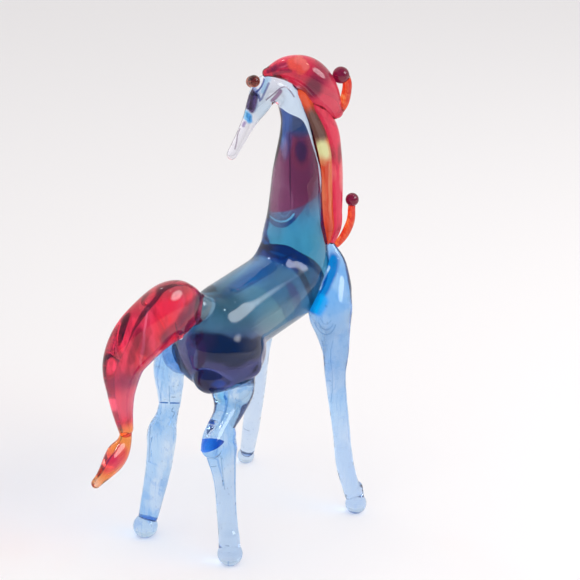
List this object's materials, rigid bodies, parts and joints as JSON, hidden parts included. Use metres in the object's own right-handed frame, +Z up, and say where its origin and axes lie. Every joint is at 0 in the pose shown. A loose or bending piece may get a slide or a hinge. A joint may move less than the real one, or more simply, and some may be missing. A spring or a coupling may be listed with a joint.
{
  "type": "glass horse figurine",
  "caption": "Flameworked glass horse that stands on splayed clear legs and looks back over its shoulder, with a dark cased body and a red mane and tail.",
  "frame": {"origin": "on the table under the middle of the bounding box", "axes": "+X from rump to chest, +Y to the horse's left, +Z up"},
  "size_m": [0.0682, 0.0396, 0.0999],
  "materials": {
    "sky": "clear pale blue glass, fire polished",
    "teal": "clear teal casing, fire polished",
    "navy": "deep blue core glass with a teal-grey haze",
    "plum": "transparent amethyst running into blue and teal",
    "violet": "clear violet-grey glass over a navy centre",
    "ruby": "transparent ruby glass with darker streaks, fire polished",
    "orange": "transparent orange glass, fire polished",
    "amber": "striking glass from dark brown through yellow to orange",
    "garnet": "nearly black garnet glass, fire polished",
    "hazel": "reddish brown glass, fire polished"
  },
  "bodies": {
    "root": {"body_casing": "teal", "body_core": "navy", "rump_gather": "violet", "neck_casing": "sky", "neck_core": "plum", "head": "sky", "face_stripe": "plum", "left_eye": "hazel", "right_eye": "hazel", "mane_forelock": "ruby", "mane_upper_curl": "orange", "mane_upper_bead": "garnet", "mane_inner_lock": "amber", "mane_outer_lock": "ruby", "mane_lower_curl": "orange", "mane_lower_bead": "garnet", "tail_collar": "sky", "tail_plume": "ruby", "tail_tip": "orange", "front_right_leg": "sky", "front_left_leg": "sky", "hind_right_thigh": "sky", "hind_left_thigh": "sky", "hind_right_cannon": "sky", "hind_left_cannon": "sky", "front_right_hoof": "sky", "front_left_hoof": "sky", "hind_right_hoof": "sky", "hind_left_hoof": "sky"}
  },
  "joints": []
}
